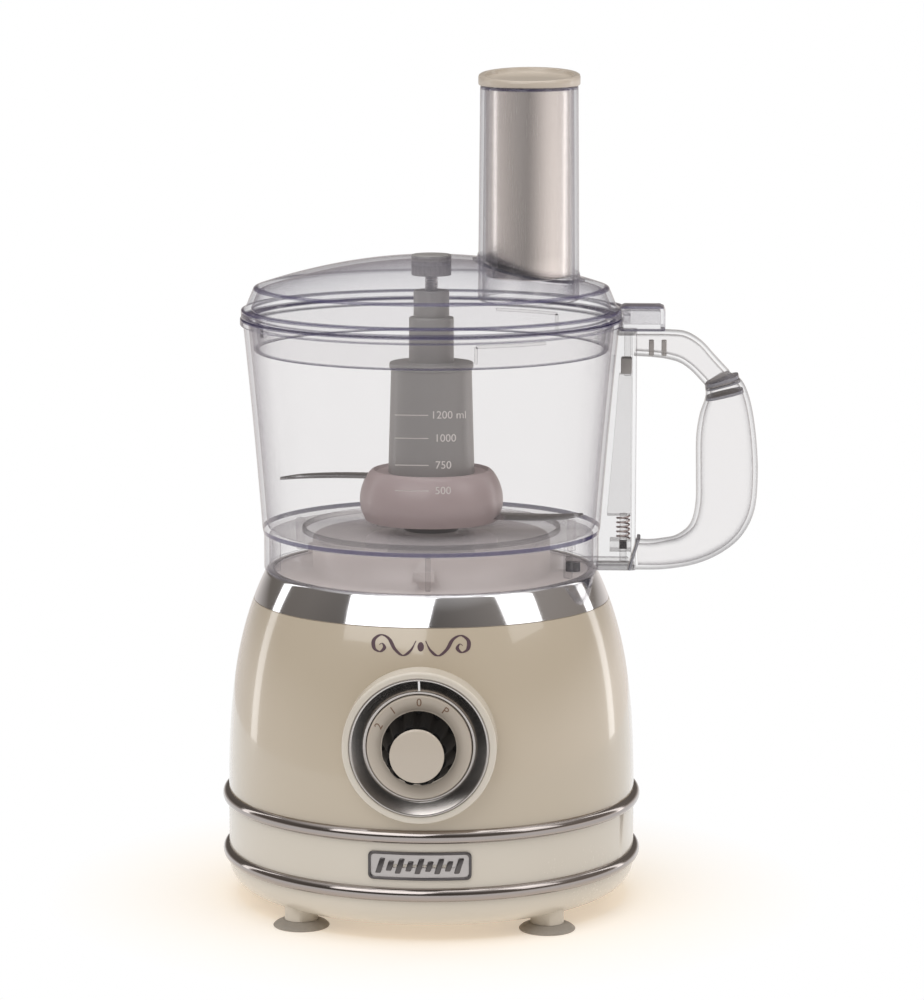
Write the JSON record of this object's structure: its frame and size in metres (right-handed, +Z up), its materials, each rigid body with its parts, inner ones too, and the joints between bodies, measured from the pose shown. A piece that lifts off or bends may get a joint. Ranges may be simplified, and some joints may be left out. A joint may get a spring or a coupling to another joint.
{
  "type": "food processor",
  "caption": "Counter-top food processor: round motor base with dial, clear bowl with handle, lid with feed tube and pusher, and a bladed spindle.",
  "frame": {"origin": "on the drive axis, in the plane that the feet stand on", "axes": "+Z up along the drive axis, -Y out through the dial at the front, +X towards the handle of the bowl"},
  "size_m": [0.257, 0.2307, 0.3999],
  "materials": {
    "beige_gloss": "polished",
    "ivory_gloss": "polished",
    "chrome_plate": "polished",
    "clear_plastic": "polished",
    "hub_grey": "satin",
    "drum_pink": "satin",
    "sleeve_grey": "satin",
    "black_plastic": "satin",
    "satin_silver": "satin",
    "blade_steel": "brushed",
    "machine_steel": "ground",
    "lamination_steel": "oiled",
    "winding_copper": "lacquered",
    "pad_rubber": "matte",
    "gland_rubber": "matte",
    "deck_plastic": "satin",
    "gear_nylon": "satin",
    "cast_alloy": "cast",
    "bronze_bush": "sintered",
    "carbon": "matte",
    "spring_steel": "drawn",
    "switch_case": "matte"
  },
  "bodies": {
    "base": {"lower_housing": "ivory_gloss", "upper_housing": "beige_gloss", "collar_ring": "chrome_plate", "trim_ring_lower": "chrome_plate", "trim_ring_upper": "chrome_plate", "foot_pads": "pad_rubber", "badge_plate": "chrome_plate", "cord_grommet": "gland_rubber", "top_deck": "deck_plastic", "dial_bezel": "ivory_gloss", "dial_dish": "chrome_plate", "rotary_switch": "switch_case", "chassis_plate": "cast_alloy", "chassis_screws": "machine_steel", "housing_screws": "machine_steel", "gear_bearing": "machine_steel", "shaft_bushes": "bronze_bush", "shaft_seal": "gland_rubber", "motor_bearing_upper": "machine_steel", "motor_bearing_lower": "machine_steel", "stator_core": "lamination_steel", "stator_coils": "winding_copper", "motor_bracket": "cast_alloy", "brush_holders": "bronze_bush", "carbon_brushes": "carbon", "motor_screws": "machine_steel", "suppressor_capacitor": "switch_case", "button_spring": "spring_steel", "safety_switch": "switch_case"},
    "dial": {"dial_skirt": "ivory_gloss", "knob_grip": "black_plastic", "knob_cap": "ivory_gloss", "dial_shaft": "machine_steel"},
    "output": {"drive_gear": "gear_nylon", "drive_shaft": "machine_steel"},
    "rotor": {"pinion": "machine_steel", "motor_shaft": "machine_steel", "armature_core": "lamination_steel", "armature_windings": "winding_copper", "commutator": "winding_copper", "cooling_fan": "black_plastic"},
    "button": {"interlock_button": "black_plastic"},
    "sleeve": {"bowl_sleeve": "sleeve_grey"},
    "bowl": {"bowl": "clear_plastic", "handle_grip": "clear_plastic", "rod_seat": "sleeve_grey", "rod_spring": "spring_steel"},
    "rod": {"interlock_rod": "sleeve_grey"},
    "bush": {"lid_bush": "hub_grey"},
    "lid": {"lid": "clear_plastic"},
    "pusher": {"pusher_sleeve": "satin_silver", "pusher_cap": "ivory_gloss"},
    "blade": {"blade_column": "hub_grey", "drive_insert": "black_plastic", "spindle_pin": "machine_steel", "upper_blade": "blade_steel", "lower_blade": "blade_steel", "blade_drum": "drum_pink"}
  },
  "joints": [
    {"name": "dial_turn", "type": "hinge", "parent": "base", "child": "dial", "pos_m": [0, 0, 0.0951], "axis": [0, -1, 0], "range_deg": [-62, 35]},
    {"name": "rotor_spin", "type": "hinge", "parent": "base", "child": "rotor", "pos_m": [0, 0.0385, 0.089], "axis": [0, 0, 1], "continuous": true},
    {"name": "output_spin", "type": "hinge", "parent": "base", "child": "output", "pos_m": [0, 0, 0.13], "axis": [0, 0, 1], "continuous": true},
    {"name": "bowl_lift", "type": "slide", "parent": "base", "child": "sleeve", "axis": [0, 0, 1], "range_m": [0, 0.1]},
    {"name": "bowl_twist", "type": "hinge", "parent": "sleeve", "child": "bowl", "pos_m": [0, 0, 0.17], "axis": [0, 0, 1], "range_deg": [-25, 0]},
    {"name": "blade_spin", "type": "hinge", "parent": "sleeve", "child": "blade", "pos_m": [0, 0, 0.2], "axis": [0, 0, 1], "continuous": true},
    {"name": "lid_lift", "type": "slide", "parent": "bowl", "child": "bush", "axis": [0, 0, 1], "range_m": [0, 0.06]},
    {"name": "lid_twist", "type": "hinge", "parent": "bush", "child": "lid", "pos_m": [0, 0, 0.29], "axis": [0, 0, 1], "range_deg": [-20, 0]},
    {"name": "pusher_slide", "type": "slide", "parent": "lid", "child": "pusher", "axis": [0, 0, 1], "range_m": [0, 0.095]},
    {"name": "rod_slide", "type": "slide", "parent": "bowl", "child": "rod", "axis": [0, 0, 1], "range_m": [0, 0.003], "deforming": ["rod_spring"]},
    {"name": "button_slide", "type": "slide", "parent": "base", "child": "button", "axis": [0, 0, 1], "range_m": [0, 0.003], "deforming": ["button_spring"]}
  ],
  "couplings": [
    {"joint": "output_spin", "follows": "rotor_spin", "ratio": -0.22222},
    {"joint": "blade_spin", "follows": "rotor_spin", "ratio": -0.22222},
    {"joint": "rod_slide", "follows": "lid_twist", "m_per_rad": -0.00859},
    {"joint": "button_slide", "follows": "lid_twist", "m_per_rad": -0.00859}
  ]
}
